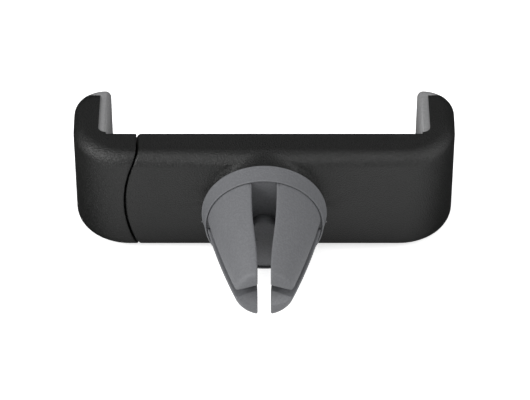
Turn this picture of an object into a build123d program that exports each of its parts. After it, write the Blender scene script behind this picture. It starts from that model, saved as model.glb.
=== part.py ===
"""Spring-jaw phone mount for a car air vent.

A flat plastic bar carries a fixed jaw at one end and a spring-loaded sliding jaw at the other.
A rubber clip with four prongs turns on a boss in the middle of the bar's back and grips the vent.

Frame (millimetres): the origin is on the clip's swivel axis, in the plane of the bar's back face.
+X runs along the bar towards the fixed jaw, +Y from the back face towards the phone, +Z up.
"""

import os

from build123d import *

os.makedirs("parts", exist_ok=True)

# ---------------------------------------------------------------- bar and jaws
LENGTH = 72.9  # over both jaws' outer faces, jaws closed
WIDTH = 23.0  # of the bar and the jaws, along Z
BAR_DEPTH = 7.6  # back face to front face
JAW_REACH = 12.65  # how far the plastic jaws stand out of the front face
JAW_WALL = 4.95  # plastic thickness of a jaw
END_RADIUS = 10.5  # round from the back face into the end faces
END_FLARE = 0.3  # the end faces lean outwards by this much from back to tip
FLARE_BLEND = 60.0  # large round where the leaning end face turns upright
FLARE_END = 1.5  # from there to the tip's round
TIP_ROUND = 6.0  # outer corner of a jaw's tip with its liner, seen along Z
TIP_EASE = 1.5  # eased edge where that round meets the plastic's flat tip
ROOT_ROUND = 1.5  # inside corner between jaw and bar
BACK_ROUND = 2.6  # rounded long edges of the back face
FRONT_ROUND = 0.8  # rounded long edges of the front face
WALL = 1.3  # rear and side walls
CAVITY_ROUND = 1.0  # inside corners of the hollow bar
COVER_WALL = 1.4  # front cover, and the front wall of the sliding jaw
COVER_MARGIN = 1.4  # from the cover's end to the fixed jaw's liner
COVER_LEDGE = 1.2  # the hollow runs on this far behind the shell's front wall
SEAM_INSET = 10.15  # middle of the curved joint, in from the sliding jaw's end face
SEAM_GAP = 0.4  # air in the closed joint
SEAM_CHAMFER = 0.3

# ---------------------------------------------------------------- jaw liners and front pad
LINER = 2.0  # rubber thickness over a jaw's inner face
LINER_CAP = 1.25  # how far the liner stands over the jaw's tip
LINER_INSET = 0.3  # the liner is this much narrower than the jaw at each side
LINER_RIM = 2.2  # rounded edges of the liner over the tip
LINER_TIP_ROUND = 1.1  # inner edge of the rubber at the tip
LINER_BEVEL_X = 0.8  # bevel along the liner's side edges
LINER_BEVEL_Z = 1.3
PAD_THICKNESS = 0.8
PAD_SEAT = 0.3  # depth of the pad's recess in the cover
PAD_MARGIN = 1.2  # from the pad's edge to the cover's edge
PAD_CORNER = 2.5
CORE_POCKETS = 4  # weight-saving pockets behind each liner
POCKET_DEPTH = 2.2
POCKET_MARGIN = 4.0  # from the pockets to the jaw's tip
POCKET_RIB = 1.5

# ---------------------------------------------------------------- slider and springs
TRAVEL = 26.0  # opening of the sliding jaw
SLIDE_GAP = 0.1  # running clearance of the slider in the bar
WEB = 0.8  # floor of the slider between its legs
LEG_CHAMFER = 0.8
SPRING_OD = 2.6
SPRING_WIRE = 0.35
LANE_GAP = 0.4  # free space on each side of a spring
PIN_R = 0.6
PIN_DEPTH = 0.7  # how far an anchor pin enters the rear wall
PIN_CLEAR = 0.4  # from a pin's end to the cover
ANCHOR_INSET = 11.45  # spring anchors, in from the fixed jaw's end face
HOOK_INSET = 2.6  # spring hooks, inside the joint
LEG_CLEAR = 5.0  # from a leg's end to the spring anchors
STOP_LENGTH = 2.0  # travel stop on each leg's end
STOP_WIDTH = 1.8
STOP_HEIGHT = 0.5
STOP_GAP = 0.1

# ---------------------------------------------------------------- boss, swivel and clip
BOSS_INSET = 0.1  # boss radius is this much less than half the width
BOSS_HEIGHT = 2.4
SHAFT_R = 2.2
SHAFT_GAP = 0.05
HUB_R = 3.5  # washers inside the bar
HUB_CLEAR = 0.3  # from the washers to the slider's slot
SWIVEL_GAP = 0.1  # between boss and clip disc
WAVE_WASHER = 0.43
RETAINER = 0.6
CLIP_SCREW_R = 0.8
CLIP_SCREW_HEAD_R = 1.6
CLIP_SCREW_HEAD = 1.0
CLIP_SCREW_LENGTH = 4.4
DISC_OVERHANG = 0.43  # the disc's rear rim stands out over the boss
DISC_TAPER = 0.63  # the rim is this much smaller in radius at the front
DISC_DEPTH = 3.6  # rear rim to front rim
DISC_FLOOR = 0.4  # the floor between the prongs lies this deep inside the rim
RIM_WALL = 0.35
RIM_GROOVE = 0.03  # fine step between the rim and the prongs
CORE_DISC = 2.1  # stiff disc inside the rubber
CORE_SKIN = 2.0  # rubber outside the stiff disc's edge
PRONG_LENGTH = 19.7  # floor to tip
PRONG_TIP_SHARE = 0.48  # radius over the prongs at their tips, as a share of that at the floor
PRONG_BULGE = 0.36  # outward curve of the prongs' sides
PRONG_TIP = 1.6  # round from the prongs' sides into their tips
PRONG_EDGE = 0.3  # rounded long edges of a prong
UPRIGHT_SLOT = [2.33, 2.28, 2.08, 1.66, 1.3, 1.2]  # half widths, evenly spaced from floor to tip
LEVEL_SLOT = [1.1, 1.1, 1.1, 1.05, 0.95, 0.9]
LEAD_IN_INNER = 2.7  # the lead-in facet's height beside the upright slot
LEAD_IN_OUTER = 1.3  # and at the tip's outer corner
LEAD_IN_DEPTH = 2.6
SPINE_BASE_R = 1.7
SPINE_TIP_R = 0.8
SPINE_STOP = 3.2  # the stiff spine ends this far short of the prong's tip
STOP_POST_R = 2.55
STOP_POST_LENGTH = 2.1

# ---------------------------------------------------------------- screws
COVER_SCREW_R = 0.6
COVER_SCREW_HEAD_R = 1.3
COVER_SCREW_HEAD = 0.5
SCREW_BOSS_R = 1.6
JAW_SCREW_HEAD_R = 0.95
SCREW_CLEAR = 0.9  # from a jaw screw's end to the rear wall
CROSS_WIDTH = 0.35
CROSS_DEPTH = 0.3
FIT_GAP = 0.05  # between fixed pieces that slot together
TAB_LENGTH = 6.0
TAB_REACH = 0.4
TAB_HEIGHT = 0.6

# ---------------------------------------------------------------- places that follow from the sizes
def inner_wall_y(x):
    """How far the inside of a rounded end lies in front of the back face, at one x."""
    radius = END_RADIUS - WALL
    across = max(0.0, abs(x) - (half_length - END_FLARE - END_RADIUS))
    return WALL + radius - (radius**2 - across**2) ** 0.5


half_length = LENGTH / 2
half_width = WIDTH / 2
tip_y = BAR_DEPTH + JAW_REACH
inner_x = half_length - JAW_WALL
liner_x = inner_x - LINER
liner_top = tip_y + LINER_CAP
liner_z = half_width - LINER_INSET
seam_r = half_length - SEAM_INSET
cover_y = BAR_DEPTH - COVER_WALL
cavity_z = half_width - WALL
anchor_x = half_length - ANCHOR_INSET
cover_end = liner_x - COVER_MARGIN
cavity_end = cover_end + COVER_LEDGE
slot_half = HUB_R + HUB_CLEAR
lane_z = HUB_R + LANE_GAP + SPRING_OD / 2
leg_in = lane_z + SPRING_OD / 2 + LANE_GAP
leg_out = cavity_z - SLIDE_GAP
leg_end = anchor_x - LEG_CLEAR
slider_back = WALL + SLIDE_GAP
slider_front = cover_y - SLIDE_GAP
web_front = slider_back + WEB
lane_y = (web_front + cover_y) / 2
pin_top = cover_y - PIN_CLEAR
hook_x = -(seam_r - HOOK_INSET)
stop_z = (leg_in + leg_out) / 2
boss_r = half_width - BOSS_INSET
disc_back = BOSS_HEIGHT + SWIVEL_GAP
disc_front = disc_back + DISC_DEPTH
floor_n = disc_front - DISC_FLOOR
rim_r = boss_r + DISC_OVERHANG - DISC_TAPER
prong_base_r = rim_r - RIM_WALL - RIM_GROOVE
prong_tip_r = prong_base_r * PRONG_TIP_SHARE
tip_n = floor_n + PRONG_LENGTH
core_front = disc_back + CORE_DISC
shaft_end = WALL + WAVE_WASHER + 0.02
cover_screws_at = [(anchor_x / 2, 0.0)]
cover_screws_at += [(anchor_x, side * (cavity_z - SCREW_BOSS_R)) for side in (-1, 1)]
jaw_screw_x = -(inner_x + liner_x) / 2
jaw_screw_z = cavity_z * 0.6
jaw_screw_end = inner_wall_y(jaw_screw_x - COVER_SCREW_R) + SCREW_CLEAR
prong_quarters = {
    "prong_upper_left": (-1, 1),
    "prong_upper_right": (1, 1),
    "prong_lower_left": (-1, -1),
    "prong_lower_right": (1, -1),
}


# ---------------------------------------------------------------- small helpers
def block(x0, x1, y0, y1, z0, z1):
    """A box between its six limits."""
    middle = Pos((x0 + x1) / 2, (y0 + y1) / 2, (z0 + z1) / 2)
    return middle * Box(x1 - x0, y1 - y0, z1 - z0)


def rod(x, z, radius, y0, y1):
    """A round rod along Y."""
    return Pos(x, (y0 + y1) / 2, z) * Rot(90, 0, 0) * Cylinder(radius, y1 - y0)


def rod_along_x(x0, x1, y, z, radius):
    """A round rod along X."""
    return Pos((x0 + x1) / 2, y, z) * Rot(0, 90, 0) * Cylinder(radius, x1 - x0)


def turned(points):
    """A solid turned about the swivel axis from (radius, height behind the back face) points."""
    outline = make_face(Polyline(*[(r, -n) for r, n in points], close=True))
    return revolve(outline, Axis.Y, 360)


def cross_cut(x, z, y):
    """A cross recess cut into a screw head whose face is at y, seen from the front."""
    arm = COVER_SCREW_HEAD_R * 0.6
    half = CROSS_WIDTH / 2
    upright = block(x - half, x + half, y - CROSS_DEPTH, y + 1, z - arm, z + arm)
    level = block(x - arm, x + arm, y - CROSS_DEPTH, y + 1, z - half, z + half)
    return upright + level


# ---------------------------------------------------------------- the bar's outside, before it is split
def outside_outline():
    """The outline of the bar and both ends over their liners, seen along Z, with no channel in it."""
    upright_from = liner_top - TIP_ROUND - FLARE_END
    right = [
        (half_length - END_FLARE, 0),
        (half_length, upright_from),
        (half_length, liner_top),
    ]
    left = [(-x, y) for x, y in reversed(right)]
    outline = make_face(Polyline(*right, *left, close=True))
    for height, radius in ((0, END_RADIUS), (upright_from, FLARE_BLEND), (liner_top, TIP_ROUND)):
        corners = [v for v in outline.vertices() if abs(v.Y - height) < 0.01]
        outline = fillet(corners, radius)
    return outline


def channel(half, root):
    """The room between the jaws, down to a root height, as a flat outline."""
    height = LENGTH
    return Pos(0, root + height / 2) * Rectangle(2 * half, height)


def bar_section():
    """The channel-shaped section of bar and jaws, seen along Z, with the plastic's flat tips."""
    below_tips = Pos(0, tip_y / 2) * Rectangle(2 * LENGTH, tip_y)
    section = (outside_outline() & below_tips) - channel(inner_x, BAR_DEPTH)
    roots = [v for v in section.vertices() if abs(v.Y - BAR_DEPTH) < 0.01]
    section = fillet(roots, ROOT_ROUND)
    tips = [v for v in section.vertices() if abs(v.Y - tip_y) < 0.01 and abs(v.X) > inner_x + 0.01]
    return fillet(tips, TIP_EASE)


def bar_blank():
    """Bar and both jaws in one piece, solid, with every outside round."""
    blank = extrude(bar_section(), half_width, both=True)
    outer = [e for e in blank.edges() if on_outer_rim(e)]
    return fillet(outer, BACK_ROUND) - front_edge_cuts()


def on_outer_rim(edge):
    """True for the edges round the outside of the section, on both side faces."""
    middle = edge.position_at(0.5)
    inside = abs(middle.X) < inner_x + 0.01 and middle.Y > BAR_DEPTH - 0.01
    across = edge.geom_type == GeomType.LINE and abs(edge.tangent_at(0.5).Z) > 0.99
    return not (across or inside)


def front_edge_cuts():
    """What is taken off the bar's two long front edges, between the jaws' roots, to round them."""
    reach = inner_x - ROOT_ROUND
    cuts = None
    for side in (-1, 1):
        middle = half_width - FRONT_ROUND
        z0, z1 = sorted((side * middle, side * (half_width + 1)))
        cut = block(-reach, reach, BAR_DEPTH - FRONT_ROUND, BAR_DEPTH + 1, z0, z1)
        cut -= rod_along_x(-LENGTH, LENGTH, BAR_DEPTH - FRONT_ROUND, side * middle, FRONT_ROUND)
        cuts = cut if cuts is None else cuts + cut
    return cuts


def left_of_seam(radius):
    """Everything on the sliding jaw's side of an upright cylinder about the swivel axis."""
    reach = LENGTH
    zone = block(-reach, 0, -1, tip_y + 1, -WIDTH, WIDTH)
    return zone - rod(0, 0, radius, -2, tip_y + 2)


def inner_limit():
    """A block that ends one wall inside the bar's back and its rounded ends."""
    reach = half_length - END_FLARE - WALL
    limit = block(-reach, reach, WALL, tip_y, -WIDTH, WIDTH)
    return fillet(limit.edges().filter_by(Axis.Z).group_by(Axis.Y)[0], END_RADIUS - WALL)


def hollow(x0, x1):
    """The room inside the bar from x0 to x1, with rounded long corners at the rear wall."""
    room = block(x0, x1, WALL, cover_y, -cavity_z, cavity_z)
    room = fillet(room.edges().filter_by(Axis.X).group_by(Axis.Y)[0], CAVITY_ROUND)
    return room & inner_limit()


def core_pockets(side):
    """Pockets in a jaw's inner face, hidden by its liner."""
    low = BAR_DEPTH + ROOT_ROUND + 0.5
    high = tip_y - POCKET_MARGIN
    span = 2 * (cavity_z - 1.0)
    width = (span - (CORE_POCKETS - 1) * POCKET_RIB) / CORE_POCKETS
    x0, x1 = sorted((side * inner_x, side * (inner_x + POCKET_DEPTH)))
    pockets = []
    for index in range(CORE_POCKETS):
        z0 = -span / 2 + index * (width + POCKET_RIB)
        pockets.append(block(x0, x1, low, high, z0, z0 + width))
    return pockets


def seam_edges(solid, radius):
    """The outside edges that a curved joint face leaves on a shell."""
    found = []
    for edge in solid.edges():
        point = edge.position_at(0.5)
        on_seam = abs((point.X**2 + point.Z**2) ** 0.5 - radius) < 0.01
        ends = [edge.position_at(t) for t in (0, 1)]
        level = all(abs((p.X**2 + p.Z**2) ** 0.5 - radius) < 0.01 for p in ends)
        on_back = abs(point.Y) < 0.01
        on_side = abs(abs(point.Z) - half_width) < 0.01
        on_round = 0.01 < point.Y < BACK_ROUND and abs(point.Z) > half_width - BACK_ROUND
        if on_seam and level and (on_back or on_side or on_round):
            found.append(edge)
    return found


# ---------------------------------------------------------------- housing: shell, cover, pad, liner
def housing_shell(blank):
    """The rear shell of the bar with the fixed jaw and the boss, open towards the phone."""
    shell = blank - left_of_seam(seam_r)
    shell = chamfer(seam_edges(shell, seam_r), SEAM_CHAMFER)
    shell += rod(0, 0, boss_r, -BOSS_HEIGHT, BACK_ROUND)
    shell -= hollow(-half_length, cavity_end)
    shell -= block(-half_length, cover_end, cover_y, BAR_DEPTH, -cavity_z, cavity_z)
    for x, z in cover_screws_at:
        shell += rod(x, z, SCREW_BOSS_R, WALL / 2, cover_y)
        shell -= rod(x, z, COVER_SCREW_R, WALL, cover_y)
    for side in (-1, 1):
        shell -= rod(anchor_x, side * lane_z, PIN_R, WALL - PIN_DEPTH, WALL)
        shell -= side_tabs(side, FIT_GAP)
    for pocket in core_pockets(1):
        shell -= pocket
    return shell - rod(0, 0, SHAFT_R + SHAFT_GAP, -BOSS_HEIGHT, WALL)


def side_tabs(side, gap):
    """The snap tabs on one long edge of the cover, or with a gap, their grooves in the shell."""
    middle_y = (cover_y + BAR_DEPTH) / 2
    tabs = None
    for x in (-seam_r * 0.6, 0.0):
        z0, z1 = sorted((side * (cavity_z - WALL / 2), side * (cavity_z + TAB_REACH + gap)))
        tab = block(
            x - TAB_LENGTH / 2 - gap,
            x + TAB_LENGTH / 2 + gap,
            middle_y - TAB_HEIGHT / 2 - gap,
            middle_y + TAB_HEIGHT / 2 + gap,
            z0,
            z1,
        )
        tabs = tab if tabs is None else tabs + tab
    return tabs


def pad_outline(margin):
    """A rounded plate's x and z limits, inside the cover's edge by a margin."""
    x0 = -(seam_r**2 - cavity_z**2) ** 0.5 + margin
    return x0, cover_end - margin, cavity_z - margin


def pad_body(y0, y1, margin):
    """The front pad, or the recess it sits in."""
    x0, x1, z1 = pad_outline(margin)
    plate = block(x0, x1, y0, y1, -z1, z1)
    return fillet(plate.edges().filter_by(Axis.Y), PAD_CORNER)


def front_cover():
    """The flat cover that closes the bar, with its screw holes and the slider's stop grooves."""
    cover = block(-half_length, cover_end - FIT_GAP, cover_y, BAR_DEPTH, -cavity_z, cavity_z)
    cover -= left_of_seam(seam_r)
    cover -= pad_body(BAR_DEPTH - PAD_SEAT, BAR_DEPTH + 1, PAD_MARGIN)
    seat = BAR_DEPTH - PAD_SEAT
    for x, z in cover_screws_at:
        cover -= rod(x, z, COVER_SCREW_R, cover_y, seat)
        cover -= rod(x, z, COVER_SCREW_HEAD_R, seat - COVER_SCREW_HEAD, seat)
    groove_start = leg_end - STOP_LENGTH - TRAVEL - STOP_GAP
    for side in (-1, 1):
        cover += side_tabs(side, 0.0)
        half = STOP_WIDTH / 2 + STOP_GAP
        z0, z1 = sorted((side * (stop_z - half), side * (stop_z + half)))
        groove = block(groove_start, leg_end + STOP_LENGTH, cover_y, cover_y + STOP_HEIGHT, z0, z1)
        cover -= groove
    return cover


def front_pad():
    """The thin rubber pad that the phone's back lies on."""
    y0 = BAR_DEPTH - PAD_SEAT
    pad = pad_body(y0, y0 + PAD_THICKNESS, PAD_MARGIN)
    return fillet(pad.edges().group_by(Axis.Y)[-1], 0.25)


def liner_bevel(end):
    """The wedge that bevels one side edge of a liner."""
    wedge = make_face(
        Polyline(
            (liner_x - 1, end * (liner_z - LINER_BEVEL_Z)),
            (liner_x, end * (liner_z - LINER_BEVEL_Z)),
            (liner_x + LINER_BEVEL_X, end * liner_z),
            (liner_x + LINER_BEVEL_X, end * (liner_z + 1)),
            (liner_x - 1, end * (liner_z + 1)),
            close=True,
        )
    )
    return extrude(Plane.XZ * wedge, 2 * LENGTH, both=True)


def jaw_liner(side, blank):
    """The rubber on a jaw's inner face, folded over the tip, with bevelled side edges."""
    outline = outside_outline() - channel(liner_x, BAR_DEPTH - FRONT_ROUND)
    body = extrude(outline, liner_z, both=True)
    body = body & block(liner_x, half_length, BAR_DEPTH - FRONT_ROUND, liner_top, -WIDTH, WIDTH)
    body = body - block(inner_x + FIT_GAP, LENGTH, -1, tip_y - LINER_RIM, -WIDTH, WIDTH)
    body = fillet([e for e in body.edges() if on_liner_rim(e)], LINER_RIM)
    inner_face = body.faces().filter_by(Axis.X).group_by(Axis.X)[0][0]
    above_root = [e for e in inner_face.edges() if e.position_at(0.5).Y > BAR_DEPTH]
    body = fillet(above_root, LINER_TIP_ROUND) - liner_bevel(1) - liner_bevel(-1)
    if side < 0:
        body = mirror(body, Plane.YZ)
    return body - blank


def on_liner_rim(edge):
    """True for the edges round the liner's tip, on both side faces."""
    middle = edge.position_at(0.5)
    level = abs(edge.tangent_at(0.5).Z) < 0.01 and abs(abs(middle.Z) - liner_z) < 0.01
    return level and middle.Y > tip_y - LINER_RIM + 0.01 and middle.X > liner_x + 0.01


def cover_screws():
    """The countersunk screws that hold the cover."""
    seat = BAR_DEPTH - PAD_SEAT
    screws = []
    for x, z in cover_screws_at:
        head = rod(x, z, COVER_SCREW_HEAD_R, seat - COVER_SCREW_HEAD, seat)
        shank = rod(x, z, COVER_SCREW_R, WALL + 0.6, seat - COVER_SCREW_HEAD)
        screws.append(head + shank - cross_cut(x, z, seat))
    return screws


def spring_anchors():
    """The steel pins in the housing that hold the springs' fixed ends."""
    return [rod(anchor_x, side * lane_z, PIN_R, WALL - PIN_DEPTH, pin_top) for side in (-1, 1)]


# ---------------------------------------------------------------- sliding jaw: shell, slider, screws, hooks
def jaw_shell(blank):
    """The sliding jaw's plastic shell, open towards the bar, where the slider plugs in."""
    shell = blank & left_of_seam(seam_r + SEAM_GAP)
    shell = chamfer(seam_edges(shell, seam_r + SEAM_GAP), SEAM_CHAMFER / 2)
    shell -= hollow(-half_length, 0)
    for pocket in core_pockets(-1):
        shell -= pocket
    for side in (-1, 1):
        z = side * jaw_screw_z
        shell -= rod(jaw_screw_x, z, COVER_SCREW_R, cover_y, BAR_DEPTH)
        shell -= rod(jaw_screw_x, z, JAW_SCREW_HEAD_R, BAR_DEPTH - COVER_SCREW_HEAD, BAR_DEPTH)
    return shell


def slider():
    """The nylon slider: a root inside the jaw, a thin floor and two legs that run in the bar."""
    root_end = -(seam_r + SEAM_GAP)
    body = block(root_end, leg_end, slider_back, web_front, -leg_out, leg_out)
    for side in (-1, 1):
        z0, z1 = sorted((side * leg_in, side * leg_out))
        body += block(root_end, leg_end, slider_back, slider_front, z0, z1)
    outer = body.edges().filter_by(Axis.X).group_by(Axis.Y)[0]
    body = chamfer([e for e in outer if abs(e.position_at(0.5).Z) > leg_in], LEG_CHAMFER)
    body = body & inner_limit()
    for side in (-1, 1):
        z0, z1 = sorted((side * (stop_z - STOP_WIDTH / 2), side * (stop_z + STOP_WIDTH / 2)))
        stop_top = cover_y + STOP_HEIGHT - STOP_GAP
        body += block(leg_end - STOP_LENGTH, leg_end, slider_front, stop_top, z0, z1)
    body -= rod(0, 0, slot_half, slider_back - 1, web_front + 1)
    body -= block(0, leg_end + 1, slider_back - 1, web_front + 1, -slot_half, slot_half)
    body += hollow(-half_length, root_end)
    for side in (-1, 1):
        body -= rod(hook_x, side * lane_z, PIN_R, slider_back, web_front)
        body -= rod(jaw_screw_x, side * jaw_screw_z, COVER_SCREW_R, jaw_screw_end, cover_y)
    return body


def jaw_screws():
    """The two screws that pull the slider's root against the jaw's front wall, under the liner."""
    screws = []
    for side in (-1, 1):
        z = side * jaw_screw_z
        face = BAR_DEPTH
        head = rod(jaw_screw_x, z, JAW_SCREW_HEAD_R, face - COVER_SCREW_HEAD, face)
        shank = rod(jaw_screw_x, z, COVER_SCREW_R, jaw_screw_end, face - COVER_SCREW_HEAD)
        screws.append(head + shank - cross_cut(jaw_screw_x, z, face))
    return screws


def spring_hooks():
    """The steel pins in the slider that pull on the springs' moving ends."""
    return [rod(hook_x, side * lane_z, PIN_R, slider_back, pin_top) for side in (-1, 1)]


def tension_spring(side):
    """A closed-wound tension spring, drawn as its outer tube with an eye at each end."""
    z = side * lane_z
    eye_outer = PIN_R + 0.05 + SPRING_WIRE
    start = hook_x + eye_outer + 0.4
    end = anchor_x - eye_outer - 0.4
    body = rod_along_x(start, end, lane_y, z, SPRING_OD / 2)
    body -= rod_along_x(start + SPRING_WIRE, end - SPRING_WIRE, lane_y, z, SPRING_OD / 2 - SPRING_WIRE)
    for x, toward in ((hook_x, start), (anchor_x, end)):
        eye = rod(x, z, eye_outer, lane_y - SPRING_WIRE / 2, lane_y + SPRING_WIRE / 2)
        eye -= rod(x, z, PIN_R + 0.05, lane_y - 1, lane_y + 1)
        inward = 1 if toward > x else -1
        x0, x1 = sorted((x + inward * (eye_outer - SPRING_WIRE / 2), toward))
        body += eye + rod_along_x(x0, x1, lane_y, z, SPRING_WIRE / 2)
    return body


# ---------------------------------------------------------------- vent clip: core, rubber disc, prongs
def spine_line(sx, sz):
    """Start and end of the stiff spine inside the prong of one quarter."""
    base = prong_base_r * 0.58
    tip = prong_tip_r * 0.6
    start = Vector(sx * base, -core_front + 0.5, sz * base * 0.85)
    end = Vector(sx * tip, -(tip_n - SPINE_STOP), sz * tip * 0.9)
    return start, end


def spine(sx, sz):
    """The tapered stiff spine of one prong."""
    start, end = spine_line(sx, sz)
    along = (end - start).normalized()
    foot = Plane(start, z_dir=along)
    height = (end - start).length
    return foot * Pos(0, 0, height / 2) * Cone(SPINE_BASE_R, SPINE_TIP_R, height)


def clip_core():
    """The stiff moulding inside the rubber: disc, hollow swivel shaft and four spines."""
    disc_r = rim_r + DISC_TAPER - CORE_SKIN
    core = rod(0, 0, disc_r, -core_front, -disc_back)
    core += rod(0, 0, SHAFT_R, -disc_back, shaft_end)
    for sx, sz in prong_quarters.values():
        core += spine(sx, sz)
    return core - rod(0, 0, CLIP_SCREW_R, shaft_end - CLIP_SCREW_LENGTH, shaft_end)


def clip_disc(core):
    """The rubber disc: a tapered rim round a shallow floor, moulded over the core."""
    body = turned(
        [
            (0, disc_back),
            (rim_r + DISC_TAPER, disc_back),
            (rim_r + DISC_TAPER, disc_back + 0.3),
            (rim_r, disc_front),
            (rim_r - RIM_WALL, disc_front),
            (rim_r - RIM_WALL, floor_n),
            (0, floor_n),
        ]
    )
    return body - core - rod(0, 0, SHAFT_R, -core_front, -disc_back)


def prong_field():
    """The four prongs before the slots part them: a bulging cone with a rounded tip."""
    mid_n = (floor_n + tip_n) / 2
    mid_r = (prong_base_r + prong_tip_r) / 2 + PRONG_BULGE
    side = ThreePointArc((prong_base_r, -floor_n), (mid_r, -mid_n), (prong_tip_r, -tip_n))
    rest = Polyline((prong_tip_r, -tip_n), (0, -tip_n), (0, -floor_n), (prong_base_r, -floor_n))
    outline = make_face(side + rest)
    corner = outline.vertices().sort_by_distance((prong_tip_r, -tip_n))[0]
    return revolve(fillet(corner, PRONG_TIP), Axis.Y, 360)


def slot_cutter(half_widths):
    """A slot through the field, as wide as its evenly spaced half widths say, open past the tip."""
    step = PRONG_LENGTH / (len(half_widths) - 1)
    near = [(width, -(floor_n + index * step)) for index, width in enumerate(half_widths)]
    past = (half_widths[-1], -(tip_n + step))
    side = Spline(*near, past)
    far = [(-x, y) for x, y in reversed([*near, past])]
    outline = make_face(side + Line(past, far[0]) + Spline(*far) + Line(far[-1], near[0]))
    return extrude(outline, 2 * WIDTH, both=True)


def lead_in_plane():
    """The slanting facet that opens the crossing of the slots at the tip of one prong."""
    inner = Vector(UPRIGHT_SLOT[-1], -tip_n, LEAD_IN_INNER)
    outer = Vector(prong_tip_r, -tip_n, LEAD_IN_OUTER)
    deep = Vector(UPRIGHT_SLOT[-1], -(tip_n - LEAD_IN_DEPTH), LEVEL_SLOT[-1])
    normal = (outer - inner).cross(deep - inner)
    if normal.Z < 0:
        normal = -normal
    return Plane(inner, z_dir=normal)


def prong(sx, sz, field, spine_solid):
    """One rubber prong: the quarter of the field between the slots, over its stiff spine."""
    upright = slot_cutter(UPRIGHT_SLOT)
    level = Rot(0, -90, 0) * slot_cutter(LEVEL_SLOT)
    reach = 2 * WIDTH
    corner = block(0, reach, -tip_n - 1, -floor_n, 0, reach)
    body = (field & corner) - upright - level
    body = split(body, bisect_by=lead_in_plane(), keep=Keep.TOP)
    sharp = [e for e in body.edges() if e.position_at(0.5).Y < -floor_n - 0.01]
    body = fillet(sharp, PRONG_EDGE)
    if sx < 0:
        body = mirror(body, Plane.YZ)
    if sz < 0:
        body = mirror(body, Plane.XY)
    return body - spine_solid


def blade_stop():
    """The round post where the slots cross, which stops the vent's blade."""
    post = rod(0, 0, STOP_POST_R, -(floor_n + STOP_POST_LENGTH), -floor_n)
    return fillet(post.edges().group_by(Axis.Y)[0], 0.25)


def wave_washer():
    """The spring washer that gives the swivel its drag."""
    y0 = WALL + 0.01
    return rod(0, 0, HUB_R - 0.1, y0, y0 + WAVE_WASHER) - rod(0, 0, SHAFT_R + SHAFT_GAP, 0, WALL + 1)


def retaining_washer():
    """The flat washer on the shaft's end that keeps the clip on the boss."""
    washer = rod(0, 0, HUB_R, shaft_end, shaft_end + RETAINER)
    return washer - rod(0, 0, CLIP_SCREW_R, shaft_end, shaft_end + RETAINER)


def swivel_screw():
    """The screw through the retaining washer into the clip's shaft."""
    seat = shaft_end + RETAINER
    screw = rod(0, 0, CLIP_SCREW_HEAD_R, seat, seat + CLIP_SCREW_HEAD)
    screw += rod(0, 0, CLIP_SCREW_R, shaft_end - CLIP_SCREW_LENGTH + 0.3, seat)
    return screw - cross_cut(0, 0, seat + CLIP_SCREW_HEAD)


# ---------------------------------------------------------------- build and write every piece
def all_parts():
    """Every piece by name; a list is a group of separate like pieces."""
    blank = bar_blank()
    core = clip_core()
    field = prong_field()
    parts = {
        "housing_shell": housing_shell(blank),
        "front_cover": front_cover(),
        "front_pad": front_pad(),
        "fixed_jaw_liner": jaw_liner(1, blank),
        "cover_screws": cover_screws(),
        "spring_anchors": spring_anchors(),
        "sliding_jaw_shell": jaw_shell(blank),
        "sliding_jaw_liner": jaw_liner(-1, blank),
        "slider": slider(),
        "jaw_screws": jaw_screws(),
        "spring_hooks": spring_hooks(),
        "spring_upper": tension_spring(1),
        "spring_lower": tension_spring(-1),
        "clip_core": core,
        "clip_disc": clip_disc(core),
        "blade_stop": blade_stop(),
        "wave_washer": wave_washer(),
        "retaining_washer": retaining_washer(),
        "swivel_screw": swivel_screw(),
    }
    for name, (sx, sz) in prong_quarters.items():
        parts[name] = prong(sx, sz, field, core)
    return parts


for node, shape in all_parts().items():
    solid = Compound(children=shape) if isinstance(shape, list) else shape
    export_step(solid, f"parts/{node}.step")
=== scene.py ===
"""Looks of a spring-jaw phone mount for a car air vent. Lengths are in metres."""
import math

import bmesh
import bpy
from mathutils import Matrix, Vector


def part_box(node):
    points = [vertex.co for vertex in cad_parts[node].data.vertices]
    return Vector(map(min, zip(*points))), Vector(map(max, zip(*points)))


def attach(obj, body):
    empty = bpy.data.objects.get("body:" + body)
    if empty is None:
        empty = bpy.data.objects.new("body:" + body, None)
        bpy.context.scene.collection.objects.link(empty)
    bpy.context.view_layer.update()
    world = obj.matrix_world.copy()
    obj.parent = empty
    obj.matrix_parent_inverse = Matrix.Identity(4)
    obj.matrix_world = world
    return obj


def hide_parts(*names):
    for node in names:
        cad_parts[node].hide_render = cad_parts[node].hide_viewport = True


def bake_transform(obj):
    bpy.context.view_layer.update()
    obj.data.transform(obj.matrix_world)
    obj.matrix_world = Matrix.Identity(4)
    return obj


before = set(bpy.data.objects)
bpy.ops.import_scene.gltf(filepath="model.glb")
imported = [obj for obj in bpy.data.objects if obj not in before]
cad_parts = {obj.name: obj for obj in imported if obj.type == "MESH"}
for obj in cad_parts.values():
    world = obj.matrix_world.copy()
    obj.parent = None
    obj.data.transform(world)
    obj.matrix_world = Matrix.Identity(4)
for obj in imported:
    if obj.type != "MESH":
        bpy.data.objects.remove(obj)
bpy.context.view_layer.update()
MM = 0.001


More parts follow.
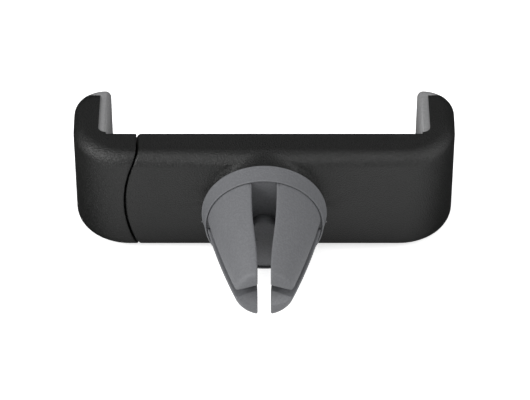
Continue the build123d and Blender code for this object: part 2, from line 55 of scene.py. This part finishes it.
# ---------------------------------------------------------------------------
# Camera, table and lights. The holder lies on its long side on a white table.
# It is seen from behind and above, in a room that is bright overhead and in
# front of the table, and dark behind it.
# ---------------------------------------------------------------------------
view_lift = math.radians(41.5)
view_distance = 0.56
seen_width = 0.1007
camera_data = bpy.data.cameras.new("camera")
camera_data.sensor_width = 36.0
camera_data.lens = camera_data.sensor_width * view_distance / seen_width
camera_data.clip_start = 0.01
camera = bpy.data.objects.new("camera", camera_data)
bpy.context.scene.collection.objects.link(camera)
view_up = Vector((0, math.sin(view_lift), math.cos(view_lift)))
aim_right = 0.15 * MM
aim_up = 0.76 * MM
aim = Vector((aim_right, 0, 0)) + view_up * aim_up
camera.location = aim + Vector((0, -math.cos(view_lift), math.sin(view_lift))) * view_distance
camera.rotation_euler = (math.pi / 2 - view_lift, 0, 0)
bpy.context.scene.camera = camera

table_paint = bpy.data.materials.new("table_paint")
table_paint.use_nodes = True
paint_tree = table_paint.node_tree
paint_shader = paint_tree.nodes["Principled BSDF"]
paint_shader.inputs["Base Color"].default_value = (0.93, 0.93, 0.93, 1)
paint_shader.inputs["Roughness"].default_value = 0.7
paint_shader.inputs["Specular IOR Level"].default_value = 0.0
paint_shader.inputs["Emission Color"].default_value = (1, 1, 1, 1)
paint_shader.inputs["Emission Strength"].default_value = 0.66
# for reflected rays the table glows, strongly in front of the holder and faintly behind it: a painted glow
# that gives the dark plastic a soft sheen on its back face and dark ends; seen directly, it is an even white
glow_front_y, glow_rear_y = -12 * MM, 4 * MM
paint_place = paint_tree.nodes.new("ShaderNodeTexCoord")
paint_axes = paint_tree.nodes.new("ShaderNodeSeparateXYZ")
paint_fade = paint_tree.nodes.new("ShaderNodeMapRange")
paint_fade.interpolation_type = "SMOOTHSTEP"
paint_fade.inputs["From Min"].default_value = glow_front_y
paint_fade.inputs["From Max"].default_value = glow_rear_y
paint_fade.inputs["To Min"].default_value = 1.0
paint_fade.inputs["To Max"].default_value = 0.05
paint_glow = paint_tree.nodes.new("ShaderNodeEmission")
paint_path = paint_tree.nodes.new("ShaderNodeLightPath")
paint_choice = paint_tree.nodes.new("ShaderNodeMixShader")
paint_tree.links.new(paint_place.outputs["Object"], paint_axes.inputs["Vector"])
paint_tree.links.new(paint_axes.outputs["Y"], paint_fade.inputs["Value"])
paint_tree.links.new(paint_fade.outputs["Result"], paint_glow.inputs["Strength"])
paint_tree.links.new(paint_path.outputs["Is Camera Ray"], paint_choice.inputs["Fac"])
paint_tree.links.new(paint_glow.outputs["Emission"], paint_choice.inputs[1])
paint_tree.links.new(paint_shader.outputs["BSDF"], paint_choice.inputs[2])
paint_tree.links.new(paint_choice.outputs["Shader"], paint_tree.nodes["Material Output"].inputs["Surface"])
table_reach = 3.0
table_gap = 0.2 * MM
table_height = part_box("clip_disc")[0].z - table_gap
table_mesh = bpy.data.meshes.new("table")
table_corners = [(-1, -1), (1, -1), (1, 1), (-1, 1)]
table_points = [(x * table_reach, y * table_reach, table_height) for x, y in table_corners]
table_mesh.from_pydata(table_points, [], [(0, 1, 2, 3)])
table_mesh.materials.append(table_paint)
table = bpy.data.objects.new("table", table_mesh)
bpy.context.scene.collection.objects.link(table)


def soft_light(name, place, size, power):
    """A square soft light that faces the holder."""
    data = bpy.data.lights.new(name, "AREA")
    data.shape = "SQUARE"
    data.size = size
    data.energy = power
    light = bpy.data.objects.new(name, data)
    light.location = place
    light.rotation_euler = (-Vector(place)).to_track_quat("-Z", "Y").to_euler()
    bpy.context.scene.collection.objects.link(light)


soft_light("key_light", (-0.72, -0.28, 0.42), 0.6, 6.5)
soft_light("side_light", (0.76, -0.2, 0.36), 0.6, 3.2)

room = bpy.data.worlds.new("room")
room.use_nodes = True
room_tree = room.node_tree
room_direction = room_tree.nodes.new("ShaderNodeTexCoord")
room_tilt = room_tree.nodes.new("ShaderNodeVectorMath")
room_tilt.operation = "DOT_PRODUCT"
brightest_way = (0.0, -0.30, 0.954)
room_tilt.inputs[1].default_value = brightest_way
room_fade = room_tree.nodes.new("ShaderNodeMapRange")
room_fade.interpolation_type = "SMOOTHSTEP"
room_fade.inputs["From Min"].default_value = 0.42
room_fade.inputs["From Max"].default_value = 0.74
room_fade.inputs["To Min"].default_value = 0.07
room_fade.inputs["To Max"].default_value = 0.85
room_tree.links.new(room_direction.outputs["Generated"], room_tilt.inputs[0])
room_tree.links.new(room_tilt.outputs["Value"], room_fade.inputs["Value"])
room_tree.links.new(room_fade.outputs["Result"], room_tree.nodes["Background"].inputs["Strength"])
room_tree.nodes["Background"].inputs["Color"].default_value = (1, 1, 1, 1)
bpy.context.scene.world = room
bpy.context.scene.view_settings.view_transform = "Standard"


# ---------------------------------------------------------------------------
# Housing shell: the rear half of the bar with the fixed jaw and the round boss.
# It is moulded in black ABS with a fine spark-eroded grain, and every outside
# edge is rounded. The sliding jaw's shell comes out of the same kind of mould.
# ---------------------------------------------------------------------------
merge_distance = 0.002 * MM


def skin_of(node, sharp_angle=28.0):
    """A copy of a CAD node with merged corners, smooth where its faces run into each other."""
    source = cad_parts[node]
    mesh = bpy.data.meshes.new(node + "_skin")
    form = bmesh.new()
    form.from_mesh(source.data)
    bmesh.ops.remove_doubles(form, verts=form.verts, dist=merge_distance)
    form.to_mesh(mesh)
    form.free()
    mesh.shade_smooth()
    mesh.set_sharp_from_angle(angle=math.radians(sharp_angle))
    mesh.materials.clear()
    piece = bpy.data.objects.new(node + "_skin", mesh)
    bpy.context.scene.collection.objects.link(piece)
    return piece


def even_shading(piece):
    """Flat faces stay flat in the light beside the rounds that they run into."""
    weights = piece.modifiers.new("even_shading", "WEIGHTED_NORMAL")
    weights.keep_sharp = True
    weights.weight = 80


def finish_piece(piece, node, material, body):
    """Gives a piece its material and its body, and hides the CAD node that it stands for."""
    piece.data.materials.clear()
    piece.data.materials.append(material)
    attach(piece, body)
    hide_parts(node)


def add_socket(group, name, kind, side, default=None):
    """A named socket on a node group."""
    socket = group.interface.new_socket(name=name, in_out=side, socket_type=kind)
    if default is not None:
        socket.default_value = default


def node_at(tree, kind, **settings):
    """A node with its inputs set by name, and its other settings as attributes."""
    node = tree.nodes.new(kind)
    for name, value in settings.items():
        if name.startswith("set_"):
            setattr(node, name[4:], value)
        else:
            node.inputs[name.replace("_", " ")].default_value = value
    return node


def eroded_grain_group():
    """Fine spark-eroded mould grain: a normal, and a mask that is 1 on the grain's high spots."""
    group = bpy.data.node_groups.new("eroded_grain", "ShaderNodeTree")
    add_socket(group, "Grains per Metre", "NodeSocketFloat", "INPUT", 3200.0)
    add_socket(group, "Depth", "NodeSocketFloat", "INPUT", 0.3)
    add_socket(group, "Waviness", "NodeSocketFloat", "INPUT", 0.02)
    add_socket(group, "High Spots", "NodeSocketFloat", "OUTPUT")
    add_socket(group, "Clouds", "NodeSocketFloat", "OUTPUT")
    add_socket(group, "Normal", "NodeSocketVector", "OUTPUT")
    inward = group.nodes.new("NodeGroupInput")
    outward = group.nodes.new("NodeGroupOutput")
    place = group.nodes.new("ShaderNodeTexCoord")
    grain = node_at(group, "ShaderNodeTexNoise", Detail=3.0, Roughness=0.62)
    waves = node_at(group, "ShaderNodeTexNoise", Scale=260.0, Detail=1.0)
    clouds = node_at(group, "ShaderNodeTexNoise", Scale=130.0, Detail=3.0)
    sharpen = node_at(group, "ShaderNodeMapRange", From_Min=0.38, From_Max=0.66)
    fine_bump = node_at(group, "ShaderNodeBump", Distance=0.00006)
    wavy_bump = node_at(group, "ShaderNodeBump", Distance=0.0003)
    group.links.new(place.outputs["Object"], grain.inputs["Vector"])
    group.links.new(place.outputs["Object"], waves.inputs["Vector"])
    group.links.new(place.outputs["Object"], clouds.inputs["Vector"])
    group.links.new(inward.outputs["Grains per Metre"], grain.inputs["Scale"])
    group.links.new(grain.outputs["Fac"], sharpen.inputs["Value"])
    group.links.new(sharpen.outputs["Result"], fine_bump.inputs["Height"])
    group.links.new(inward.outputs["Depth"], fine_bump.inputs["Strength"])
    group.links.new(waves.outputs["Fac"], wavy_bump.inputs["Height"])
    group.links.new(inward.outputs["Waviness"], wavy_bump.inputs["Strength"])
    group.links.new(wavy_bump.outputs["Normal"], fine_bump.inputs["Normal"])
    group.links.new(sharpen.outputs["Result"], outward.inputs["High Spots"])
    group.links.new(clouds.outputs["Fac"], outward.inputs["Clouds"])
    group.links.new(fine_bump.outputs["Normal"], outward.inputs["Normal"])
    return group


eroded_grain = eroded_grain_group()


def moulded_material(name, low_colour, high_spot_glint_colour, roughness_low, roughness_high, grains, depth, gloss=0.5):
    """A moulded surface whose colour and roughness follow the mould's grain; its colour is lighter on the
    grain's high spots, a painted glint.
    """
    material = bpy.data.materials.new(name)
    material.use_nodes = True
    tree = material.node_tree
    shader = tree.nodes["Principled BSDF"]
    grain = tree.nodes.new("ShaderNodeGroup")
    grain.node_tree = eroded_grain
    grain.inputs["Grains per Metre"].default_value = grains
    grain.inputs["Depth"].default_value = depth
    colour = node_at(tree, "ShaderNodeMix", set_data_type="RGBA")
    # a Mix node's colours are the seventh and the eighth of its inputs, and its third output
    colour.inputs[6].default_value = (*low_colour, 1)
    colour.inputs[7].default_value = (*high_spot_glint_colour, 1)
    roughness = node_at(tree, "ShaderNodeMapRange", To_Min=roughness_low, To_Max=roughness_high)
    roughness.inputs["From Min"].default_value = 0.3
    roughness.inputs["From Max"].default_value = 0.7
    # the colour is lighter on the grain's high spots: painted glints on the grain's peaks
    tree.links.new(grain.outputs["High Spots"], colour.inputs[0])
    tree.links.new(colour.outputs[2], shader.inputs["Base Color"])
    tree.links.new(grain.outputs["Clouds"], roughness.inputs["Value"])
    tree.links.new(roughness.outputs["Result"], shader.inputs["Roughness"])
    tree.links.new(grain.outputs["Normal"], shader.inputs["Normal"])
    shader.inputs["Specular IOR Level"].default_value = gloss
    return material


black_abs = moulded_material(
    "black_abs", (0.004, 0.0043, 0.0041), (0.0085, 0.0088, 0.0084), 0.3, 0.4, 3200.0, 0.9
)
housing = skin_of("housing_shell")
even_shading(housing)
finish_piece(housing, "housing_shell", black_abs, "housing")


# ---------------------------------------------------------------------------
# Sliding jaw's shell: the short end of the bar beyond the curved joint, with
# its own jaw. Same black ABS and grain, closed by the slider's root.
# ---------------------------------------------------------------------------
jaw_shell = skin_of("sliding_jaw_shell")
even_shading(jaw_shell)
finish_piece(jaw_shell, "sliding_jaw_shell", black_abs, "sliding_jaw")


# ---------------------------------------------------------------------------
# Front cover: the flat black ABS plate that closes the bar, held by snap tabs
# and three screws. It comes from a smoother part of the mould.
# ---------------------------------------------------------------------------
cover_abs = moulded_material(
    "cover_abs", (0.006, 0.006, 0.006), (0.011, 0.011, 0.011), 0.4, 0.5, 2400.0, 0.35
)
cover = skin_of("front_cover")
finish_piece(cover, "front_cover", cover_abs, "housing")


# ---------------------------------------------------------------------------
# Front pad: the soft rubber plate that the phone's back lies on. It is moulded
# with shallow round ribs across it, and glued into a recess in the cover.
# ---------------------------------------------------------------------------
pad_low, pad_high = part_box("front_pad")
pad_corner = 2.5 * MM
rib_height = 0.25 * MM
rib_width = 0.9 * MM
rib_pitch = 1.8 * MM
rib_margin = 1.0 * MM


def rounded_plate(name, low, high, corner, steps=10):
    """A flat plate between y limits with rounded corners seen from the front."""
    corners = [
        (high.x - corner, high.z - corner, 0.0),
        (low.x + corner, high.z - corner, 0.5),
        (low.x + corner, low.z + corner, 1.0),
        (high.x - corner, low.z + corner, 1.5),
    ]
    outline = []
    for x, z, start in corners:
        for step in range(steps + 1):
            angle = math.pi * (start + 0.5 * step / steps)
            outline.append((x + corner * math.cos(angle), z + corner * math.sin(angle)))
    form = bmesh.new()
    back = [form.verts.new((x, low.y, z)) for x, z in outline]
    front = [form.verts.new((x, high.y, z)) for x, z in outline]
    form.faces.new(back)
    form.faces.new(list(reversed(front)))
    for index in range(len(outline)):
        after = (index + 1) % len(outline)
        form.faces.new((back[after], back[index], front[index], front[after]))
    bmesh.ops.recalc_face_normals(form, faces=form.faces)
    mesh = bpy.data.meshes.new(name)
    form.to_mesh(mesh)
    form.free()
    piece = bpy.data.objects.new(name, mesh)
    bpy.context.scene.collection.objects.link(piece)
    return piece


def pad_ribs_tree():
    """Geometry nodes that join evenly spaced round ribs to the plate that they are given."""
    tree = bpy.data.node_groups.new("pad_ribs", "GeometryNodeTree")
    add_socket(tree, "Plate", "NodeSocketGeometry", "INPUT")
    add_socket(tree, "First Rib", "NodeSocketVector", "INPUT")
    add_socket(tree, "Rib Count", "NodeSocketInt", "INPUT", 10)
    add_socket(tree, "Rib Pitch", "NodeSocketFloat", "INPUT", 0.002)
    add_socket(tree, "Rib Length", "NodeSocketFloat", "INPUT", 0.015)
    add_socket(tree, "Rib Width", "NodeSocketFloat", "INPUT", 0.001)
    add_socket(tree, "Rib Height", "NodeSocketFloat", "INPUT", 0.0003)
    add_socket(tree, "Rubber", "NodeSocketMaterial", "INPUT")
    add_socket(tree, "Pad", "NodeSocketGeometry", "OUTPUT")
    inward = tree.nodes.new("NodeGroupInput")
    outward = tree.nodes.new("NodeGroupOutput")
    pitch = tree.nodes.new("ShaderNodeCombineXYZ")
    row = node_at(tree, "GeometryNodeMeshLine", set_mode="OFFSET")
    ball = node_at(tree, "GeometryNodeMeshUVSphere", Segments=10, Rings=10, Radius=0.5)
    scale = tree.nodes.new("ShaderNodeCombineXYZ")
    double_height = node_at(tree, "ShaderNodeMath", set_operation="MULTIPLY")
    double_height.inputs[1].default_value = 2.0
    shape = tree.nodes.new("GeometryNodeTransform")
    copies = tree.nodes.new("GeometryNodeInstanceOnPoints")
    joined = tree.nodes.new("GeometryNodeJoinGeometry")
    real = tree.nodes.new("GeometryNodeRealizeInstances")
    smooth = tree.nodes.new("GeometryNodeSetShadeSmooth")
    paint = tree.nodes.new("GeometryNodeSetMaterial")
    tree.links.new(inward.outputs["Rib Pitch"], pitch.inputs["X"])
    tree.links.new(pitch.outputs["Vector"], row.inputs["Offset"])
    tree.links.new(inward.outputs["Rib Count"], row.inputs["Count"])
    tree.links.new(inward.outputs["First Rib"], row.inputs["Start Location"])
    tree.links.new(inward.outputs["Rib Height"], double_height.inputs[0])
    tree.links.new(inward.outputs["Rib Width"], scale.inputs["X"])
    tree.links.new(double_height.outputs["Value"], scale.inputs["Y"])
    tree.links.new(inward.outputs["Rib Length"], scale.inputs["Z"])
    tree.links.new(ball.outputs["Mesh"], shape.inputs["Geometry"])
    tree.links.new(scale.outputs["Vector"], shape.inputs["Scale"])
    tree.links.new(row.outputs["Mesh"], copies.inputs["Points"])
    tree.links.new(shape.outputs["Geometry"], copies.inputs["Instance"])
    tree.links.new(copies.outputs["Instances"], smooth.inputs["Geometry"])
    tree.links.new(smooth.outputs["Geometry"], joined.inputs["Geometry"])
    tree.links.new(inward.outputs["Plate"], joined.inputs["Geometry"])
    tree.links.new(joined.outputs["Geometry"], real.inputs["Geometry"])
    tree.links.new(real.outputs["Geometry"], paint.inputs["Geometry"])
    tree.links.new(inward.outputs["Rubber"], paint.inputs["Material"])
    tree.links.new(paint.outputs["Geometry"], outward.inputs["Pad"])
    return tree


def grown(piece, tree, values):
    """The piece as a plain mesh after a tree of geometry nodes has worked on it."""
    modifier = piece.modifiers.new("growth", "NODES")
    modifier.node_group = tree
    for item in tree.interface.items_tree:
        if item.item_type == "SOCKET" and item.in_out == "INPUT" and item.name in values:
            modifier[item.identifier] = values[item.name]
    bpy.context.view_layer.update()
    state = bpy.context.evaluated_depsgraph_get()
    mesh = bpy.data.meshes.new_from_object(piece.evaluated_get(state))
    piece.modifiers.remove(modifier)
    piece.data = mesh
    return piece


pad_rubber = moulded_material(
    "pad_rubber", (0.012, 0.012, 0.0125), (0.021, 0.021, 0.022), 0.62, 0.75, 2600.0, 0.5, gloss=0.3
)
plate_top = Vector((pad_high.x, pad_high.y - rib_height, pad_high.z))
pad = rounded_plate("front_pad_ribbed", pad_low, plate_top, pad_corner)
rib_run = pad_high.x - pad_low.x - 2 * pad_corner
rib_count = int(rib_run / rib_pitch) + 1
rib_start = (pad_low.x + pad_high.x - (rib_count - 1) * rib_pitch) / 2
grown(
    pad,
    pad_ribs_tree(),
    {
        "First Rib": (rib_start, plate_top.y, 0.0),
        "Rib Count": rib_count,
        "Rib Pitch": rib_pitch,
        "Rib Length": pad_high.z - pad_low.z - 2 * rib_margin,
        "Rib Width": rib_width,
        "Rib Height": rib_height,
        "Rubber": pad_rubber,
    },
)
finish_piece(pad, "front_pad", pad_rubber, "housing")


# ---------------------------------------------------------------------------
# Jaw liners: pale grey soft rubber moulded over both jaws' inner faces and
# folded over their tips, with bevelled side edges. They grip the phone.
# ---------------------------------------------------------------------------
liner_rubber = moulded_material(
    "liner_rubber", (0.22, 0.22, 0.223), (0.26, 0.26, 0.264), 0.5, 0.62, 2200.0, 0.35, gloss=0.45
)
for node, body in (("fixed_jaw_liner", "housing"), ("sliding_jaw_liner", "sliding_jaw")):
    liner = skin_of(node, sharp_angle=24.0)
    finish_piece(liner, node, liner_rubber, body)


# ---------------------------------------------------------------------------
# Slider: the black nylon moulding that carries the jaw, with a root inside the
# jaw's shell, a thin floor and two legs that run in the bar. Nylon is smoother
# and a little waxy.
# ---------------------------------------------------------------------------
slider_nylon = moulded_material(
    "slider_nylon", (0.009, 0.009, 0.0095), (0.014, 0.014, 0.0145), 0.32, 0.4, 1500.0, 0.15
)
slider = skin_of("slider")
finish_piece(slider, "slider", slider_nylon, "sliding_jaw")


# ---------------------------------------------------------------------------
# Screws and spring pins: bright zinc-plated steel screws with cross recesses,
# and plain ground steel pins pressed into the plastic.
# ---------------------------------------------------------------------------
def metal_material(name, colour, roughness_low, roughness_high, mottle_scale):
    """Drawn or ground steel with a fine mottle and slightly uneven gloss."""
    material = bpy.data.materials.new(name)
    material.use_nodes = True
    tree = material.node_tree
    shader = tree.nodes["Principled BSDF"]
    place = tree.nodes.new("ShaderNodeTexCoord")
    lines = node_at(tree, "ShaderNodeTexNoise", Scale=mottle_scale, Detail=4.0)
    tone = tree.nodes.new("ShaderNodeValToRGB")
    dark_share = 0.82
    tone.color_ramp.elements[0].color = (*[value * dark_share for value in colour], 1)
    tone.color_ramp.elements[1].color = (*colour, 1)
    gloss = node_at(tree, "ShaderNodeMapRange", To_Min=roughness_low, To_Max=roughness_high)
    bump = node_at(tree, "ShaderNodeBump", Strength=0.15, Distance=0.00001)
    tree.links.new(place.outputs["Object"], lines.inputs["Vector"])
    tree.links.new(lines.outputs["Fac"], tone.inputs["Fac"])
    tree.links.new(tone.outputs["Color"], shader.inputs["Base Color"])
    tree.links.new(lines.outputs["Fac"], gloss.inputs["Value"])
    tree.links.new(gloss.outputs["Result"], shader.inputs["Roughness"])
    tree.links.new(lines.outputs["Fac"], bump.inputs["Height"])
    tree.links.new(bump.outputs["Normal"], shader.inputs["Normal"])
    shader.inputs["Metallic"].default_value = 1.0
    return material


zinc_steel = metal_material("zinc_steel", (0.62, 0.63, 0.65), 0.22, 0.4, 1800.0)
hardware = {
    "cover_screws": "housing",
    "spring_anchors": "housing",
    "jaw_screws": "sliding_jaw",
    "spring_hooks": "sliding_jaw",
    "wave_washer": "vent_clip",
    "retaining_washer": "vent_clip",
    "swivel_screw": "vent_clip",
}
for node, body in hardware.items():
    fitting = skin_of(node)
    finish_piece(fitting, node, zinc_steel, body)


# ---------------------------------------------------------------------------
# Tension springs: two close-wound springs of 0.35 mm music wire. Each has a
# round eye at both ends, over a pin in the housing and a pin in the slider.
# ---------------------------------------------------------------------------
wire = 0.35 * MM
pin_radius = 0.6 * MM
pin_gap = 0.05 * MM
eye_radius = pin_radius + pin_gap + wire / 2
coil_pitch = 0.4 * MM
leg_length = 0.4 * MM


def spring_tree():
    """Geometry nodes that wind a coil along X and put a ring and a short leg at each end."""
    tree = bpy.data.node_groups.new("wound_spring", "GeometryNodeTree")
    add_socket(tree, "Start", "NodeSocketVector", "INPUT")
    add_socket(tree, "Coil Length", "NodeSocketFloat", "INPUT", 0.04)
    add_socket(tree, "Coil Radius", "NodeSocketFloat", "INPUT", 0.001)
    add_socket(tree, "Turns", "NodeSocketFloat", "INPUT", 100.0)
    add_socket(tree, "Wire Radius", "NodeSocketFloat", "INPUT", 0.0002)
    add_socket(tree, "Eye Radius", "NodeSocketFloat", "INPUT", 0.0008)
    add_socket(tree, "First Eye", "NodeSocketVector", "INPUT")
    add_socket(tree, "Last Eye", "NodeSocketVector", "INPUT")
    add_socket(tree, "First Leg", "NodeSocketVector", "INPUT")
    add_socket(tree, "Last Leg", "NodeSocketVector", "INPUT")
    add_socket(tree, "End", "NodeSocketVector", "INPUT")
    add_socket(tree, "Steel", "NodeSocketMaterial", "INPUT")
    add_socket(tree, "Spring", "NodeSocketGeometry", "OUTPUT")
    inward = tree.nodes.new("NodeGroupInput")
    outward = tree.nodes.new("NodeGroupOutput")
    coil = node_at(tree, "GeometryNodeCurveSpiral", Resolution=14)
    lay_down = node_at(tree, "GeometryNodeTransform", Rotation=(0.0, math.pi / 2, 0.0))
    ring = node_at(tree, "GeometryNodeCurvePrimitiveCircle", Resolution=20)
    ring_up = node_at(tree, "GeometryNodeTransform", Rotation=(math.pi / 2, 0.0, 0.0))
    first_ring = tree.nodes.new("GeometryNodeTransform")
    last_ring = tree.nodes.new("GeometryNodeTransform")
    first_leg = tree.nodes.new("GeometryNodeCurvePrimitiveLine")
    last_leg = tree.nodes.new("GeometryNodeCurvePrimitiveLine")
    lines = tree.nodes.new("GeometryNodeJoinGeometry")
    section = node_at(tree, "GeometryNodeCurvePrimitiveCircle", Resolution=6)
    solid = node_at(tree, "GeometryNodeCurveToMesh", Fill_Caps=True)
    real = tree.nodes.new("GeometryNodeRealizeInstances")
    smooth = tree.nodes.new("GeometryNodeSetShadeSmooth")
    paint = tree.nodes.new("GeometryNodeSetMaterial")
    link = tree.links.new
    link(inward.outputs["Turns"], coil.inputs["Rotations"])
    link(inward.outputs["Coil Radius"], coil.inputs["Start Radius"])
    link(inward.outputs["Coil Radius"], coil.inputs["End Radius"])
    link(inward.outputs["Coil Length"], coil.inputs["Height"])
    link(coil.outputs["Curve"], lay_down.inputs["Geometry"])
    link(inward.outputs["Start"], lay_down.inputs["Translation"])
    link(inward.outputs["Eye Radius"], ring.inputs["Radius"])
    link(ring.outputs["Curve"], ring_up.inputs["Geometry"])
    link(ring_up.outputs["Geometry"], first_ring.inputs["Geometry"])
    link(ring_up.outputs["Geometry"], last_ring.inputs["Geometry"])
    link(inward.outputs["First Eye"], first_ring.inputs["Translation"])
    link(inward.outputs["Last Eye"], last_ring.inputs["Translation"])
    link(inward.outputs["First Leg"], first_leg.inputs["Start"])
    link(inward.outputs["Start"], first_leg.inputs["End"])
    link(inward.outputs["Last Leg"], last_leg.inputs["Start"])
    link(inward.outputs["End"], last_leg.inputs["End"])
    for part in (lay_down, first_ring, last_ring):
        link(part.outputs["Geometry"], lines.inputs["Geometry"])
    for part in (first_leg, last_leg):
        link(part.outputs["Curve"], lines.inputs["Geometry"])
    link(inward.outputs["Wire Radius"], section.inputs["Radius"])
    link(lines.outputs["Geometry"], solid.inputs["Curve"])
    link(section.outputs["Curve"], solid.inputs["Profile Curve"])
    link(solid.outputs["Mesh"], real.inputs["Geometry"])
    link(real.outputs["Geometry"], smooth.inputs["Geometry"])
    link(smooth.outputs["Geometry"], paint.inputs["Geometry"])
    link(inward.outputs["Steel"], paint.inputs["Material"])
    link(paint.outputs["Geometry"], outward.inputs["Spring"])
    return tree


spring_steel = metal_material("spring_steel", (0.5, 0.5, 0.51), 0.25, 0.38, 2400.0)
wound_spring = spring_tree()
for node in ("spring_upper", "spring_lower"):
    low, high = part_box(node)
    axis_y, axis_z = (low.y + high.y) / 2, (low.z + high.z) / 2
    coil_radius = (high.y - low.y) / 2 - wire / 2
    eye_outer = eye_radius + wire / 2
    hook_x, anchor_x = low.x + eye_outer, high.x - eye_outer
    coil_start = hook_x + eye_outer + leg_length
    coil_end = anchor_x - eye_outer - leg_length
    spring = bpy.data.objects.new(node + "_wire", bpy.data.meshes.new(node + "_wire"))
    bpy.context.scene.collection.objects.link(spring)
    grown(
        spring,
        wound_spring,
        {
            "Start": (coil_start, axis_y, axis_z),
            "End": (coil_end, axis_y, axis_z),
            "Coil Length": coil_end - coil_start,
            "Coil Radius": coil_radius,
            "Turns": float(round((coil_end - coil_start) / coil_pitch)),
            "Wire Radius": wire / 2,
            "Eye Radius": eye_radius,
            "First Eye": (hook_x, axis_y, axis_z),
            "Last Eye": (anchor_x, axis_y, axis_z),
            "First Leg": (hook_x + eye_radius, axis_y, axis_z),
            "Last Leg": (anchor_x - eye_radius, axis_y, axis_z),
            "Steel": spring_steel,
        },
    )
    spring.data.materials.clear()
    spring.data.materials.append(spring_steel)
    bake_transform(spring)
    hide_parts(node)


# ---------------------------------------------------------------------------
# Clip core: the stiff black nylon disc with the swivel shaft and four spines.
# The grey rubber is moulded over it, so only its shaft shows inside the bar.
# ---------------------------------------------------------------------------
core = skin_of("clip_core")
finish_piece(core, "clip_core", slider_nylon, "vent_clip")


# ---------------------------------------------------------------------------
# Clip disc: the soft grey rubber disc on the boss, with a tapered rim round a
# shallow floor. Its front rim is rounded over, a thin lip is left where the
# mould closed at the rear, and two nibs of flash stand at its widest points.
# ---------------------------------------------------------------------------
disc_low, disc_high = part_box("clip_disc")
disc_back, disc_front = disc_high.y, disc_low.y
rear_radius = disc_high.x
rim_taper = 0.63 * MM
front_radius = rear_radius - rim_taper
rim_wall = 0.35 * MM
rim_round = 0.14 * MM
lip_width = 0.09 * MM
lip_height = 0.28 * MM
floor_depth = 0.4 * MM
floor_y = disc_front + floor_depth
bore_radius = 2.25 * MM
bore_depth = 2.0 * MM
nib_radius = 0.16 * MM
nib_inset = 1.1 * MM


def lathe(name, profile, steps=160):
    """A closed form turned about the swivel axis from (radius, y) points."""
    form = bmesh.new()
    rings = []
    for radius, y in profile:
        if radius == 0.0:
            rings.append([form.verts.new((0, y, 0))] * steps)
            continue
        angles = [2 * math.pi * step / steps for step in range(steps)]
        rings.append([form.verts.new((radius * math.cos(a), y, radius * math.sin(a))) for a in angles])
    for near, far in zip(rings, rings[1:]):
        for step in range(steps):
            after = (step + 1) % steps
            corners = [near[step], near[after], far[after], far[step]]
            corners = [v for index, v in enumerate(corners) if v not in corners[:index]]
            form.faces.new(corners)
    bmesh.ops.recalc_face_normals(form, faces=form.faces)
    mesh = bpy.data.meshes.new(name)
    form.to_mesh(mesh)
    form.free()
    mesh.shade_smooth()
    piece = bpy.data.objects.new(name, mesh)
    bpy.context.scene.collection.objects.link(piece)
    return piece


def quarter_round(centre_r, centre_y, radius, start, steps=5):
    """Points of a quarter circle in the lathe's plane, turning from a start angle in degrees."""
    angles = [math.radians(start + 90 * step / steps) for step in range(steps + 1)]
    return [(centre_r + radius * math.cos(a), centre_y + radius * math.sin(a)) for a in angles]


disc_profile = [
    (0.0, disc_back - bore_depth),
    (bore_radius, disc_back - bore_depth),
    (bore_radius, disc_back),
    (rear_radius - lip_width, disc_back),
    (rear_radius, disc_back - lip_width),
    (rear_radius, disc_back - lip_height),
    (rear_radius - lip_width, disc_back - lip_height - lip_width / 2),
]
outer_round = quarter_round(front_radius - rim_round, disc_front + rim_round, rim_round, 270)
disc_profile += list(reversed(outer_round))
inner_edge = front_radius - rim_wall
inner_round = quarter_round(inner_edge + rim_round, disc_front + rim_round, rim_round, 180)
disc_profile += list(reversed(inner_round))
disc_profile += [(inner_edge, floor_y), (0.0, floor_y)]
disc = lathe("clip_disc_rubber", disc_profile)
disc.data.set_sharp_from_angle(angle=math.radians(40))


def grey_rubber_material(name, low_colour, high_spot_glint_colour):
    """Soft grey rubber: an even grain, slightly cloudy, with painted glints that lighten its high spots."""
    return moulded_material(name, low_colour, high_spot_glint_colour, 0.46, 0.6, 2600.0, 0.4, gloss=0.45)


grey_rubber = grey_rubber_material("grey_rubber", (0.128, 0.131, 0.139), (0.155, 0.158, 0.167))
finish_piece(disc, "clip_disc", grey_rubber, "vent_clip")

flash = bmesh.new()
for side in (-1, 1):
    place = Matrix.Translation((side * (rear_radius - nib_radius), disc_front + nib_inset, 0))
    bmesh.ops.create_uvsphere(flash, u_segments=12, v_segments=8, radius=nib_radius, matrix=place)
flash_mesh = bpy.data.meshes.new("mould_nibs")
flash.to_mesh(flash_mesh)
flash.free()
flash_mesh.shade_smooth()
flash_mesh.materials.append(grey_rubber)
nibs = bpy.data.objects.new("mould_nibs", flash_mesh)
bpy.context.scene.collection.objects.link(nibs)
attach(nibs, "vent_clip")


# ---------------------------------------------------------------------------
# Four prongs: soft grey rubber over stiff spines, parted by an upright and a
# level slot that grip a vent's blade. Their long edges are rounded.
# ---------------------------------------------------------------------------
for node in ("prong_upper_left", "prong_upper_right", "prong_lower_left", "prong_lower_right"):
    prong = skin_of(node, sharp_angle=34.0)
    finish_piece(prong, node, grey_rubber, "vent_clip")


# ---------------------------------------------------------------------------
# Blade stop: the round rubber post where the two slots cross. It is moulded
# with the disc, and its top edge is rounded.
# ---------------------------------------------------------------------------
stop = skin_of("blade_stop", sharp_angle=34.0)
finish_piece(stop, "blade_stop", grey_rubber, "vent_clip")
